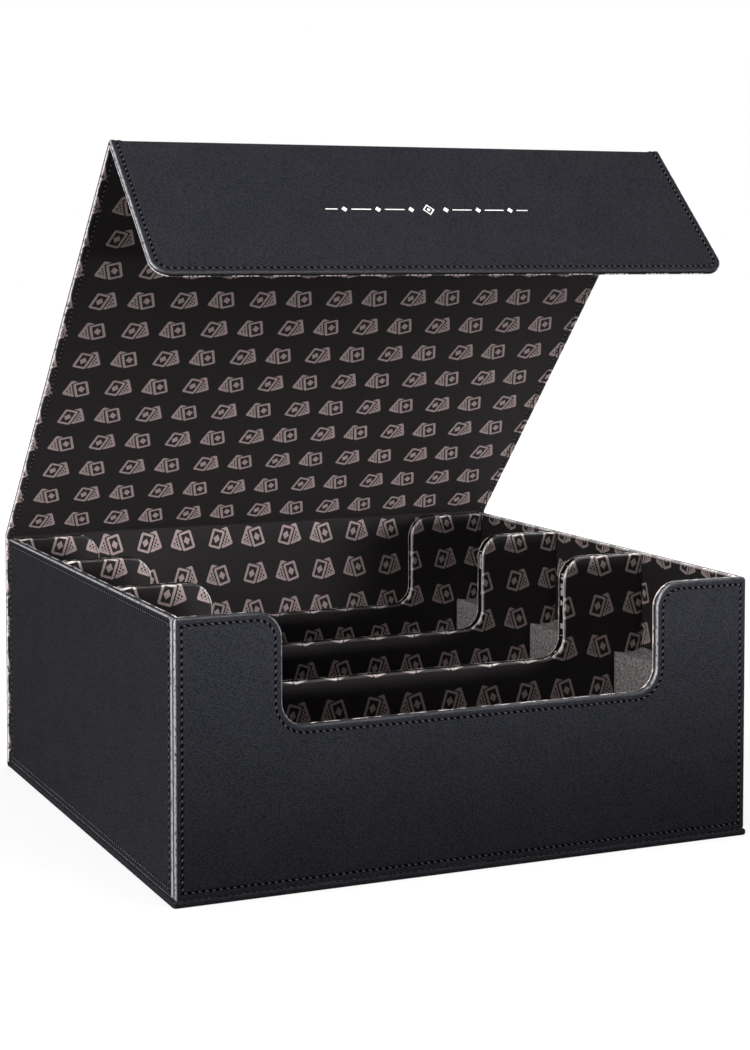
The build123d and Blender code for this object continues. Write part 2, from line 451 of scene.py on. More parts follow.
def leather_material():
    leather, sewn = bpy.context.scene.card_box_leather, bpy.context.scene.card_box_stitching
    nodes, shader = new_material("Leatherette", leather.color, leather.roughness)
    edge = nodes.uv("edge")
    grain = nodes.group("Grain", Vector=nodes.place(), Size=leather.grain)
    holes = nodes.group("Needle holes", Vector=edge, Inset=sewn.inset, Pitch=sewn.pitch)
    rolled = nodes.group("Rolled edge", Edge=edge, Pitch=sewn.pitch, Elsewhere=0.06)
    streaks = nodes.noise(nodes.stretch(nodes.uv("face"), (1, 3.2, 1), (0, 0, 0.7)), 1 / mm(1.7), 3.0, 0.6)
    clouds = nodes.times(nodes.plus(grain["Mottle"], 0.65), 0.12)
    pebbles = nodes.plus(nodes.times(grain["Height"], 0.45), nodes.times(streaks, 0.5))
    tone = nodes.mix(nodes.ramp(nodes.plus(clouds, pebbles), 0.42, 0.92), *shades(leather.color, 0.52, 1.54))
    # painted shade in the groove of the stitching
    tone = nodes.mix(nodes.times(holes["Groove"], 0.45), tone, shade(leather.color, 0.4))
    # painted highlight: pale glints on the creases of the rolled edges, most on the sideways ones
    tone = nodes.mix(nodes.times(rolled["Crease"], 0.75), tone, shade(leather.crease))
    # painted shade in the seam behind the rolled edge
    tone = nodes.mix(rolled["Seam"], tone, shade(leather.color, 0.1))
    # painted shade in the needle holes
    tone = nodes.mix(holes["Hole"], tone, shade(leather.color, 0.08))
    rough = nodes.ramp(grain["Height"], 0.2, 1.0, leather.roughness + 0.06, leather.roughness - 0.05)
    rough = nodes.minus(rough, nodes.times(rolled["Rim"], 0.16))
    rough = nodes.plus(rough, nodes.times(holes["Hole"], 0.4))
    pressed_flat = nodes.times(rolled["Rim"], nodes.times(grain["Height"], 0.5))
    height = nodes.plus(nodes.minus(grain["Height"], pressed_flat), nodes.times(streaks, 1.1))
    normal = nodes.bump(nodes.minus(1.0, holes["Hole"]), mm(0.35), nodes.bump(height, mm(0.14)))
    gloss = nodes.plus(nodes.times(rolled["Rim"], 0.12), rolled["Crease"])
    nodes.feed(shader, Base_Color=tone, Roughness=rough, Normal=normal, Specular_IOR_Level=0.0,
               Coat_Weight=gloss, Coat_Roughness=0.34, Coat_IOR=1.8)


def lining_material(name, wrapped):
    """The printed lining. Where it is wrapped round a panel it has maps of its face and its edge, with
    needle holes, painted glints on its rim and painted shade in its holes and seam, and where it lies flat
    its print is placed by the object."""
    lining, sewn = bpy.context.scene.card_box_lining, bpy.context.scene.card_box_stitching
    nodes, shader = new_material(name, lining.color, 0.5)
    spot = nodes.place()
    print_place = nodes.uv("face") if wrapped else spot
    ink = nodes.group("Card print", Vector=print_place, Pitch=lining.pitch, Line=lining.line)["Ink"]
    grain = nodes.group("Grain", Vector=spot, Size=mm(0.55))
    ground = nodes.mix(nodes.ramp(grain["Height"], 0.25, 1.0), *shades(lining.color, 0.75, 1.3))
    printed = nodes.mix(nodes.ramp(grain["Height"], 0.2, 0.9), *shades(lining.ink, 0.8, 1.1))
    tone = nodes.mix(ink, ground, printed)
    normal = nodes.bump(nodes.plus(grain["Height"], nodes.times(ink, 0.5)), mm(0.07))
    if wrapped:
        edge = nodes.uv("edge")
        holes = nodes.group("Needle holes", Vector=edge, Inset=sewn.inset, Pitch=sewn.pitch)
        rolled = nodes.group("Rolled edge", Edge=edge, Pitch=sewn.pitch, Crease_Size=mm(1.4), Elsewhere=0.1)
        # painted highlight: the print on the rolled edge is paled as a glint
        ink_glint = nodes.times(rolled["Rim"], nodes.times(ink, 0.8))
        # painted shade in the needle holes
        tone = nodes.mix(holes["Hole"], tone, shade(lining.color, 0.15))
        # painted highlight: pale glints on the creases of the rolled edges
        tone = nodes.mix(rolled["Crease"], tone, shade(lining.crease))
        tone = nodes.mix(ink_glint, tone, shade(lining.crease))
        # painted shade in the seam behind the rolled edge
        tone = nodes.mix(rolled["Seam"], tone, shade(lining.color, 0.1))
        normal = nodes.bump(rolled["Crease"], mm(0.5), normal)
        normal = nodes.bump(nodes.minus(1.0, holes["Hole"]), mm(0.3), normal)
        gloss = nodes.plus(nodes.times(rolled["Rim"], 0.15), rolled["Crease"])
        nodes.feed(shader, Coat_Weight=gloss, Coat_Roughness=0.3, Coat_IOR=1.8)
    rough = nodes.ramp(ink, 0.0, 1.0, 0.55, 0.5)
    nodes.feed(shader, Base_Color=tone, Metallic=nodes.times(ink, 0.1), Roughness=rough, Normal=normal,
               Specular_IOR_Level=0.04)


def thread_material():
    """Twisted thread. Its face map holds the place along it in metres, and round it from 0 to 1."""
    twist, strands = 9000.0, 2
    color = bpy.context.scene.card_box_stitching.color
    nodes, shader = new_material("Sewing thread", color, 0.3)
    along, around, _ = nodes.split(nodes.uv("face"))
    ply = nodes.math("SINE", nodes.plus(nodes.times(along, twist), nodes.times(around, strands * math.tau)))
    # painted shade: darker in the grooves between the strands of the twist
    tone = nodes.mix(nodes.ramp(ply, -1.0, 0.6), *shades(color, 0.55, 1.15))
    nodes.feed(shader, Base_Color=tone, Normal=nodes.bump(ply, mm(0.05)), Specular_IOR_Level=0.4)


def foam_material():
    color = bpy.context.scene.card_box_foam.color
    nodes, shader = new_material("Foam", color, 0.9)
    spot = nodes.place()
    cells = nodes.add("ShaderNodeTexVoronoi", Vector=spot, Scale=1 / mm(0.9))
    specks = nodes.noise(spot, 1 / mm(1.4), 4.0, 0.8)
    saw_marks = nodes.noise(nodes.stretch(spot, (1, 6, 6), (0, 0.9, 0.6)), 1 / mm(2.4))
    mixed = nodes.plus(nodes.times(specks, 0.6), nodes.times(saw_marks, 0.4))
    tone = nodes.mix(nodes.ramp(mixed, 0.42, 0.58), *shades(color, 0.25, 1.75))
    pores = nodes.plus(nodes.ramp(cells.outputs["Distance"], 0.1, 0.6), mixed)
    nodes.feed(shader, Base_Color=tone, Normal=nodes.bump(pores, mm(0.45)), Specular_IOR_Level=0.2)


def board_material():
    color = (0.42, 0.4, 0.37)
    nodes, shader = new_material("Greyboard", color, 0.85)
    fibres = nodes.noise(nodes.stretch(nodes.place(), (1, 8, 8)), 1 / mm(3), 4.0)
    tone = nodes.mix(nodes.ramp(fibres, 0.3, 0.7), *shades(color, 0.8, 1.1))
    nodes.feed(shader, Base_Color=tone, Normal=nodes.bump(fibres, mm(0.05)))


def steel_material():
    color = (0.56, 0.56, 0.57)
    nodes, shader = new_material("Plated steel", color, 0.35)
    scuffs = nodes.noise(nodes.place(), 1 / mm(0.8), 3.0)
    tone = nodes.mix(scuffs, *shades(color, 0.85, 1.1))
    nodes.feed(shader, Base_Color=tone, Roughness=nodes.ramp(scuffs, 0.3, 0.7, 0.25, 0.45), Metallic=1.0)


def foil_material():
    color = (0.86, 0.85, 0.83)
    nodes, shader = new_material("Pale foil", color, 0.38)
    specks = nodes.noise(nodes.place(), 1 / mm(0.35))
    tone = nodes.mix(nodes.ramp(specks, 0.35, 0.5), *shades(color, 0.82, 1.04))
    nodes.feed(shader, Base_Color=tone, Normal=nodes.bump(specks, mm(0.02)))


def finish(name):
    """A material by name, made with the others the first time that one is asked for."""
    if "Leatherette" not in bpy.data.materials:
        for build_group in (grain_group, hole_group, print_group, rim_group):
            build_group()
        leather_material()
        lining_material("Printed lining", wrapped=True)
        lining_material("Printed floor lining", wrapped=False)
        thread_material()
        foam_material()
        board_material()
        steel_material()
        foil_material()
    return bpy.data.materials[name]


# Meshes

def panel_place(origin, right, up):
    """Panel coordinates to the frame: along right, along up, and out of the face."""
    return Matrix((right, up, right.cross(up))).transposed().to_4x4(), Vector(origin)


def put(where, points):
    turn, origin = where
    return [turn @ Vector(p) + origin for p in points]


def inside_of(where, thick):
    """The same panel seen from its inner side."""
    turn, origin = where
    return turn @ Matrix.Diagonal((-1, 1, -1, 1)), turn @ Vector((0, 0, -thick)) + origin


def add_piece(name, points, faces, material, body, maps=None, sharp=crease_angle):
    """A mesh object at the origin, which rides its body if one is named. Maps are UV layers: a pair of
    numbers for each face corner."""
    mesh = bpy.data.meshes.new(name)
    mesh.from_pydata([tuple(p) for p in points], [], faces)
    for layer, pairs in (maps or {}).items():
        mesh.uv_layers.new(name=layer).data.foreach_set("uv", np.array(pairs, np.float32).ravel())
    mesh.materials.append(finish(material))
    mesh.shade_smooth()
    mesh.set_sharp_from_angle(angle=math.radians(sharp))
    mesh.update()
    piece = bpy.data.objects.new(name, mesh)
    bpy.context.scene.collection.objects.link(piece)
    if body:
        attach(piece, body)
    return piece


def edge_steps(corners, closed):
    """How many steps each straight edge is cut into."""
    ahead = corners[1:] + corners[:1] if closed else corners[1:]
    return [max(1, round(math.dist(a[:2], b[:2]) / mesh_step)) for a, b in zip(corners, ahead)]


def outline(corners, inset, steps, closed=True):
    """Points round a panel, drawn in from its edge. Corners are x, y and radius, anticlockwise,
    and an open outline starts and ends square to its first and last edges."""
    count = len(corners)
    stops = []
    for i, (x, y, radius) in enumerate(corners):
        here = np.array((x, y))
        ahead = np.array(corners[(i + 1) % count][:2]) - here
        behind = here - np.array(corners[i - 1][:2])
        if not closed and i == 0:
            behind = ahead
        if not closed and i == count - 1:
            ahead = behind
        behind, ahead = behind / np.linalg.norm(behind), ahead / np.linalg.norm(ahead)
        left_b, left_a = np.array((-behind[1], behind[0])), np.array((-ahead[1], ahead[0]))
        corner = here + inset * (left_b + left_a) / (1 + left_b @ left_a)
        bend = math.atan2(behind[0] * ahead[1] - behind[1] * ahead[0], behind @ ahead)
        if abs(bend) < 1e-6:
            stops.append([corner])
            continue
        sign = 1 if bend > 0 else -1
        r = max(radius - sign * inset, mm(0.15))
        centre = corner - behind * (r * math.tan(abs(bend) / 2)) + left_b * r * sign
        spoke = -left_b * r * sign
        angles = [bend * k / corner_cuts for k in range(corner_cuts + 1)]
        turns = [np.array(((math.cos(a), -math.sin(a)), (math.sin(a), math.cos(a)))) for a in angles]
        stops.append([centre + turn @ spoke for turn in turns])
    points = []
    for i, stop in enumerate(stops):
        points.extend(stop)
        if closed or i < count - 1:
            start, end = stop[-1], stops[(i + 1) % count][0]
            points.extend(start + (end - start) * k / steps[i] for k in range(1, steps[i]))
    return np.array(points)


def bead(radius):
    """Inset and height round a wrapped edge's quarter circle, from the face to the side."""
    angles = [math.pi / 2 * k / bend_cuts for k in range(1, bend_cuts + 1)]
    return [(radius * (1 - math.sin(a)), radius * (math.cos(a) - 1)) for a in angles]


def face_rings(radius, sewn=None):
    """From the flat of a face out to its edge, with a groove where it is sewn."""
    if sewn is None:
        return [(mm(4.0), 0), (mm(2.6), 0), (radius, 0)] + bead(radius)
    # Out from the stitching and up, in millimetres
    groove = [(1.5, 0), (0.9, -0.03), (0.45, -0.13), (0, -0.26), (-0.45, -0.13), (-0.9, -0.03), (-1.35, 0)]
    return [(mm(6.5), 0)] + [(sewn + mm(a), mm(h)) for a, h in groove] + [(radius, 0)] + bead(radius)


def roll_in(radius, top, turn=90):
    """Inset and height where a sheet leaves the side of a panel and curls back into its edge."""
    cuts = 4
    angles = [math.radians(turn * k / cuts) for k in range(cuts + 1)]
    return [(radius * (1 - math.cos(a)), top - radius * math.sin(a)) for a in angles]


def one_side(depth, sheet, radius, sewn=None):
    """A sheet on one face of a panel, rolled over its edge to the seam with the other side's."""
    radius = min(radius, depth / 2)
    curl = min(mm(0.6), sheet * 0.9, depth - radius)
    rings = face_rings(radius, sewn)
    rings += roll_in(curl, curl - depth)[0 if depth - radius - curl > mm(0.1) else 1:]
    return rings + [(sheet, -depth), (sheet, -sheet), (sheet + mm(1), -sheet)]


def both_sides(thick, radius, sewn=None, valley=False):
    """A sheet right round a panel's edge, from the middle of one face to the middle of the other.
    Where it meets itself there may be a shallow valley."""
    front = face_rings(radius, sewn)
    if valley:
        front += roll_in(radius, -radius, 50)[1:]
    return front + [(inset, -thick - height) for inset, height in reversed(front)]


def unroll(rings):
    """How far in from the edge each ring would lie if the sheet were laid flat on the face."""
    last_flat = max(k for k, (_, height) in enumerate(rings) if height == 0)
    flat = [inset for inset, _ in rings[:last_flat + 1]]
    for before, here in zip(rings[last_flat:], rings[last_flat + 1:]):
        flat.append(flat[-1] - math.dist(before, here))
    return flat


def edge_places(rings):
    """The distances in from the edge for the edge map: below 0 round the edge, and far below in the seam."""
    steepness = seam_drop * 8 / lining_sheet
    pairs = zip(rings, rings[1:])
    crest = next((k for k, (here, after) in enumerate(pairs) if here[0] < mm(0.01) < after[0]), len(rings))
    return [far - (steepness * inset if k > crest else 0)
            for k, ((inset, _), far) in enumerate(zip(rings, unroll(rings)))]


def stitch_marks(corners, steps, closed):
    """The line of the stitching, and the place along it of each of its points, counted in stitches, with
    the whole count."""
    sewn = bpy.context.scene.card_box_stitching
    path = outline(corners, sewn.inset, steps, closed)
    gaps = np.linalg.norm(np.diff(path, axis=0), axis=1)
    total = gaps.sum() + (math.dist(path[-1], path[0]) if closed else 0)
    count = max(1, round(total / sewn.pitch))
    return path, np.concatenate(([0], np.cumsum(gaps))) * count / total, count


def pucker(inset, height, marks):
    """Draws the groove in a little at each needle hole."""
    in_groove = height < -mm(0.02) and inset >= mm(1.6)
    return height * 0.35 * np.cos(2 * math.pi * marks) if in_groove else 0


def crumple(points, amount):
    """A slight, fixed unevenness, for sheets folded by hand."""
    wrinkle, seed = mm(3.4), 1                # the seed makes the noise the same in each run
    noise.seed_set(seed)
    return [p + amount * Vector(noise.noise_vector(p / wrinkle)) for p in points]


def sheet_material(name):
    """The finish of a piece whose name ends in leather or in print."""
    return "Leatherette" if name.endswith("_leather") else "Printed lining"


def shell(name, corners, rings, where, body, node, closed=True, sewn=False, uneven=0, two_faced=False,
          shift=(0, 0), polished=True):
    """A closed sheet on a panel, made of rings drawn in from its outline. Rings are inset and height,
    and shift moves the print. An edge that isn't polished is mapped as if it were face."""
    steps = edge_steps(corners, closed)
    _, marks, count = stitch_marks(corners, steps, closed)
    if not sewn:
        marks, count = np.full(len(marks), 0.5), 0.5
    m, last = len(marks), len(rings) - 1
    flat, in_from_edge = unroll(rings), edge_places(rings)
    points, flat_places = [], []
    for k, (inset, height) in enumerate(rings):
        heights = height + (pucker(inset, height, marks) if sewn else 0) * np.ones(m)
        placed = put(where, [(*p, h) for p, h in zip(outline(corners, inset, steps, closed), heights)])
        on_edge = 0 < k < last and inset < mm(1.5)
        points.extend(crumple(placed, uneven) if uneven and on_edge else placed)
        flat_places.append(outline(corners, flat[k], steps, closed))
    faces, face_map, edge_map = [], [], []

    def corner_of(k, j, behind=False):
        mapped = last - k if behind else k
        x, y = flat_places[mapped][j % m]
        face_map.append(((-x if behind else x) + shift[0], y + shift[1]))
        inset = in_from_edge[mapped]
        edge_map.append((count if j == m else marks[j % m], inset if polished else max(inset, mm(1.2))))
        return k * m + j % m

    for k in range(last):
        behind = two_faced and 2 * k > last
        for j in range(m if closed else m - 1):
            quad = ((k, j), (k + 1, j), (k + 1, j + 1), (k, j + 1))
            faces.append([corner_of(*spot, behind) for spot in quad])
    faces.append([corner_of(0, j) for j in range(m)])
    faces.append([corner_of(last, j, two_faced) for j in range(m - 1, -1, -1)])
    if not closed:
        sides = [(k, 0) for k in range(last + 1)] + [(k, m - 1) for k in range(last, -1, -1)]
        faces.append([corner_of(k, j) for k, j in reversed(sides)])
    piece = add_piece(name, points, faces, sheet_material(name), body, {"face": face_map, "edge": edge_map})
    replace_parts(piece, node)


def side_section(rings, outer=True):
    """The cover's cross-section on one of its sides, from one side edge over the face to the other.
    Each point is across, height, the place in from the edge and the print's place."""
    right = [(cover_half - inset, height, far, cover_half - flat)
             for (inset, height), far, flat in zip(rings, edge_places(rings), unroll(rings))]
    left = [(-x, height, far, -flat_x) for x, height, far, flat_x in right]
    section = left[::-1] + right
    return section if outer else [(-x, height, far, -flat_x) for x, height, far, flat_x in section][::-1]


def loft(name, section, frames, body=None, sag=None):
    """Carries a cross-section along a path. Frames are place and outer side, and sag gives how far the
    middle of each sinks."""
    pitch = bpy.context.scene.card_box_stitching.pitch
    edge_band, slope_width = mm(4.6), mm(3)   # the band that doesn't sink, and the slope beside it
    points, lengths = [], [0.0]
    for i, (origin, out) in enumerate(frames):
        if i:
            lengths.append(lengths[-1] + (origin - frames[i - 1][0]).length)
        low = sag[i] if sag else 0
        for across, height, inset, _ in section:
            sink = low * min(1.0, max(0.0, (inset - edge_band) / slope_width))
            points.append(origin - RIGHT * across + out * (height - sink))
    m, rows = len(section), len(frames)
    faces, face_map, edge_map = [], [], []

    def corner_of(row, i):
        _, _, inset, flat_x = section[i % m]
        face_map.append((flat_x + cover_print_across, lengths[row]))
        edge_map.append((lengths[row] / pitch, inset))
        return row * m + i % m

    for row in range(rows - 1):
        for i in range(m):
            quad = ((row, i), (row, i + 1), (row + 1, i + 1), (row + 1, i))
            faces.append([corner_of(*spot) for spot in quad])
    faces.append([corner_of(0, i) for i in range(m - 1, -1, -1)])
    faces.append([corner_of(rows - 1, i) for i in range(m)])
    return add_piece(name, points, faces, sheet_material(name), body, {"face": face_map, "edge": edge_map})


def bend_frames(start, corner, end, radius):
    """Places and directions along a path that comes straight to a rounded corner and goes straight on."""
    first, second = (corner - start).normalized(), (end - corner).normalized()
    angle = first.angle(second)
    tangent = min(radius * math.tan(angle / 2), (corner - start).length, (end - corner).length)
    radius = tangent / math.tan(angle / 2)
    axis = first.cross(second).normalized()
    inward = axis.cross(first)
    centre = corner - first * tangent + inward * radius
    frames = [(start, first)]
    for k in range(bend_cuts + 1):
        turn = Matrix.Rotation(angle * k / bend_cuts, 3, axis)
        frames.append((centre - turn @ (inward * radius), turn @ first))
    frames.append((end, second))
    return frames


# Stitching

class Sewing:
    """Gathers stitches into one mesh for each body."""
    sides = 6
    slant = math.radians(-16)
    # Stations of a stitch: along it and above its seat, as shares of its length and radius, and its swell
    stations = ((-0.5, -1.3, 0.75), (-0.36, -0.1, 1), (0, 0.55, 1.05), (0.36, -0.1, 1), (0.5, -1.3, 0.75))

    def __init__(self):
        self.points, self.faces, self.map = [], [], []

    def stitch(self, centre, along, out, length, radius):
        """One visible length of thread, whose ends dive into the panel."""
        side = out.cross(along)
        sides, stations = self.sides, self.stations
        first, rows = len(self.points), len(stations)
        for share, rise, swell in stations:
            middle = centre + along * (share * length) + out * (rise * radius)
            for s in range(sides):
                a = math.tau * s / sides
                self.points.append(middle + (side * math.cos(a) + out * math.sin(a)) * radius * swell)
        for row in range(rows - 1):
            near, far = first + row * sides, first + (row + 1) * sides
            low, high = stations[row][0] * length, stations[row + 1][0] * length
            for s in range(sides):
                after = (s + 1) % sides
                self.faces.append([near + s, near + after, far + after, far + s])
                quad = ((low, s), (low, s + 1), (high, s + 1), (high, s))
                self.map += [(spot, turn / sides) for spot, turn in quad]
        self.faces.append([first + s for s in range(sides - 1, -1, -1)])
        self.faces.append([first + (rows - 1) * sides + s for s in range(sides)])
        self.map += [(0, 0)] * (2 * sides)

    def run(self, corners, where, closed=False, depth=mm(0.26)):
        """A row of stitches round a panel, one between each two needle holes."""
        sewn = bpy.context.scene.card_box_stitching
        path, marks, count = stitch_marks(corners, edge_steps(corners, closed), closed)
        if closed:
            path, marks = np.vstack((path, path[:1])), np.append(marks, count)
        out = where[0].to_3x3() @ Vector((0, 0, 1))
        for k in range(count):
            ends = [(np.interp(k + share, marks, path[:, 0]), np.interp(k + share, marks, path[:, 1]), -depth)
                    for share in (0.25, 0.75)]
            a, b = put(where, ends)
            along = Matrix.Rotation(self.slant, 3, out) @ (b - a).normalized()
            self.stitch((a + b) / 2, along, out, sewn.pitch * 0.54, sewn.thread / 2)

    def straight(self, name):
        """Both side edges of a straight panel of the cover, on both of its faces."""
        start, along, length, _ = straight_panels[name]
        out = along.cross(RIGHT)
        for side in (out, -out):
            where = panel_place(start + side * half_thick, along.cross(side), along)
            self.run([(cover_half, 0, 0), (cover_half, length, 0)], where)
            self.run([(-cover_half, length, 0), (-cover_half, 0, 0)], where)

    def piece(self, name, body):
        add_piece(name, self.points, self.faces, "Sewing thread", body, {"face": self.map})


# Panels

def rectangle(half_width, low, high, radius):
    right = [(half_width, low, radius), (half_width, high, radius)]
    return [(-half_width, low, radius), *right, (-half_width, high, radius)]


def cut_out_panel(half_width, low, high):
    """A tray panel with the wide cut-out in its top edge."""
    right = [(half_width, low, small_r), (half_width, high, small_r), (cut_half, high, shoulder_r),
             (cut_half, cut_floor, cut_corner_r)]
    return right + [(-x, y, r) for x, y, r in reversed(right)]


def open_end(length, radius):
    """A panel of the cover whose near end is open: up one side, across its free end and down the other."""
    right = [(cover_half, 0, 0), (cover_half, length, radius)]
    return right + [(-x, y, r) for x, y, r in reversed(right)]


def seam(thick):
    return thick * skin_share, thick * (1 - skin_share)


front_corners = cut_out_panel(front_high.x, front_low.z, front_high.z)
wall_corners = rectangle((wall_high.y - wall_low.y) / 2, front_low.z, front_high.z, small_r)
base_corners = open_end(base_high.y - base_low.y, cover_corner_r)
flap_corners = open_end(flap_panel, flap_corner_r)

# Where the panels with corners lie, from the middle of their lower or carried edge, outside out
wall_middle = (wall_low.y + wall_high.y) / 2
flap_fold_face = fold_axis + lid_along * half_thick
places = {
    "front": panel_place((0, front_low.y, 0), RIGHT, UP),
    "left_wall": panel_place((wall_low.x, wall_middle, 0), -BACK, UP),
    "right_wall": panel_place((-wall_low.x, wall_middle, 0), BACK, UP),
    "base": panel_place((0, base_high.y, 0), RIGHT, -BACK),
    "flap": panel_place(flap_fold_face - lid_out * panel_start, -RIGHT, -lid_out),
    "ornament": panel_place(flap_fold_face - lid_out * (flap_length / 2 + mm(1)), -RIGHT, -lid_out),
}


class CARDBOX_OT_tray(bpy.types.Operator):
    """Wraps the tray's front, side walls, dividers and rear panel"""
    bl_idname = "card_box.tray"
    bl_label = "Tray"

    def execute(self, context):
        leather, sewn = context.scene.card_box_leather, context.scene.card_box_stitching
        front_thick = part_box("front_lining")[1].y - front_low.y
        wall_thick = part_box("left_wall_lining")[1].x - wall_low.x
        for name, corners, thick, uneven, drop in (
                ("front", front_corners, front_thick, mm(0.12), row_print_drop),
                ("left_wall", wall_corners, wall_thick, mm(0.06), wall_print_drop),
                ("right_wall", wall_corners, wall_thick, mm(0.06), wall_print_drop)):
            outer, inner = seam(thick)
            skin = one_side(outer, skin_sheet, leather.bead, sewn.inset)
            lining = one_side(inner, lining_sheet, leather.bead)
            shell(f"{name}_leather", corners, skin, places[name], "case", f"{name}_skin", sewn=True)
            shell(f"{name}_print", corners, lining, inside_of(places[name], thick), "case", f"{name}_lining",
                  uneven=uneven, shift=(0, drop))
        for name in ("front_divider", "rear_divider", "tray_back"):
            start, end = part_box(f"{name}_lining")
            wrap = both_sides(end.y - start.y, leather.bead, valley=True)
            where = panel_place((0, start.y, 0), RIGHT, UP)
            shell(f"{name}_print", cut_out_panel(end.x, start.z, end.z), wrap, where, "case",
                  f"{name}_lining", uneven=mm(0.2), two_faced=True, shift=(0, row_print_drop))
        return {"FINISHED"}


def cover_rings():
    """The rings of the cover's leatherette and of its lining."""
    leather, sewn = bpy.context.scene.card_box_leather, bpy.context.scene.card_box_stitching
    outer, inner = seam(panel_thick)
    radius = min(leather.bead, outer)
    skin = one_side(outer, skin_sheet, radius, sewn.inset)
    return skin, one_side(inner, lining_sheet, radius, sewn.inset)


class CARDBOX_OT_cover(bpy.types.Operator):
    """Wraps the cover's base, back, lid and flap in one stitched sheet, with its lining"""
    bl_idname = "card_box.cover"
    bl_label = "Cover"

    def execute(self, context):
        skin_rings, lining_rings = cover_rings()
        base_rings = both_sides(panel_thick, base_edge_r, context.scene.card_box_stitching.inset)
        shell("base_leather", base_corners, base_rings, places["base"], "case", "cover_base_skin",
              closed=False, sewn=True, two_faced=True, polished=False)
        shell("flap_leather", flap_corners, skin_rings, places["flap"], "flap", "flap_skin",
              closed=False, sewn=True)
        inside = inside_of(places["flap"], panel_thick)
        shell("flap_print", flap_corners, lining_rings, inside, "flap", "flap_lining",
              closed=False, sewn=True, uneven=mm(0.05), shift=(cover_print_across, flap_print_along))
        skin, lining = side_section(skin_rings), side_section(lining_rings, outer=False)
        for name, node in (("back", "cover_back"), ("lid", "lid")):
            self.straight(f"{name}_leather", name, 1, skin, f"{node}_skin")
            self.straight(f"{name}_print", name, -1, lining, f"{node}_lining")
        return {"FINISHED"}

    def straight(self, piece_name, name, side, section, node):
        """A sheet on the outer side, 1, or the inner side, -1, of a straight panel."""
        start, along, length, body = straight_panels[name]
        out = along.cross(RIGHT) * side
        steps = round(length / mesh_step)
        origin = start + out * half_thick
        frames = [(origin + along * (length * k / steps), out) for k in range(steps + 1)]
        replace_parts(loft(piece_name, section, frames, body), node)


class CARDBOX_OT_folds(bpy.types.Operator):
    """Makes the soft folds that carry the lid and the flap, and the fold under the back"""
    bl_idname = "card_box.folds"
    bl_label = "Folds"

    def execute(self, context):
        skin_rings, lining_rings = cover_rings()
        # A fold's axis, the directions into and out of it, its bodies and its node
        folds = {
            "lid_fold": (hinge_axis, UP, lid_along, ("case", "lid"), "lid_hinge_strip"),
            "flap_fold": (fold_axis, lid_along, -lid_out, ("lid", "flap"), "flap_fold_strip"),
        }
        # A sheet's side, its cross-section, how tightly it bends and how far it sags
        sheets = {
            "leather": (1, side_section(skin_rings), mm(1.7), mm(0.75)),
            "print": (-1, side_section(lining_rings, outer=False), mm(0.9), mm(0.4)),
        }
        for name, fold in folds.items():
            for sheet, values in sheets.items():
                self.fold(f"{name}_{sheet}", *fold, *values)
        low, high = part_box("base_fold_strip")
        stops = ((low.y, low.z), (high.y, low.z), (high.y, high.z))
        path = bend_frames(*(Vector((0, y, z)) for y, z in stops), mm(1.6))
        frames = [(spot, along.cross(RIGHT)) for spot, along in path]
        section = side_section(one_side(mm(1.0), skin_sheet, mm(0.9)))
        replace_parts(loft("base_fold_leather", section, frames, "case"), "base_fold_strip")
        return {"FINISHED"}

    def fold(self, name, axis, along_in, along_out, bodies, node, side, section, bend, sag):
        """A sheet bent round the outside, 1, or the inside, -1, of a fold."""
        first, last = axis - along_in * panel_start, axis + along_out * panel_start
        out_in, out_out = along_in.cross(RIGHT), along_out.cross(RIGHT)
        offset, half_angle = side * half_thick, along_in.angle(along_out) / 2
        corner = axis + (out_in + out_out).normalized() * (offset / math.cos(half_angle))
        path = bend_frames(first + out_in * offset, corner, last + out_out * offset, bend)
        frames = [(spot, along.cross(RIGHT) * side) for spot, along in path]
        sinks = [sag * math.sin(math.pi * k / (len(path) - 1)) for k in range(len(path))]
        piece = loft(name, section, frames, sag=sinks)
        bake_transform(piece)
        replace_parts(piece, node)


class CARDBOX_OT_stitching(bpy.types.Operator):
    """Sews the edges of the leatherette's panels"""
    bl_idname = "card_box.stitching"
    bl_label = "Stitching"

    def execute(self, context):
        tray, cover, lid, flap = Sewing(), Sewing(), Sewing(), Sewing()
        tray.run(front_corners, places["front"], closed=True)
        tray.run(wall_corners, places["left_wall"], closed=True)
        tray.run(wall_corners, places["right_wall"], closed=True)
        tray.piece("tray_stitching", "case")
        cover.run(base_corners, places["base"], depth=mm(0.5))
        cover.straight("back")
        cover.piece("base_and_back_stitching", "case")
        lid.straight("lid")
        lid.piece("lid_stitching", "lid")
        flap.run(flap_corners, places["flap"])
        flap.run(flap_corners, inside_of(places["flap"], panel_thick))
        flap.piece("flap_stitching", "flap")
        return {"FINISHED"}


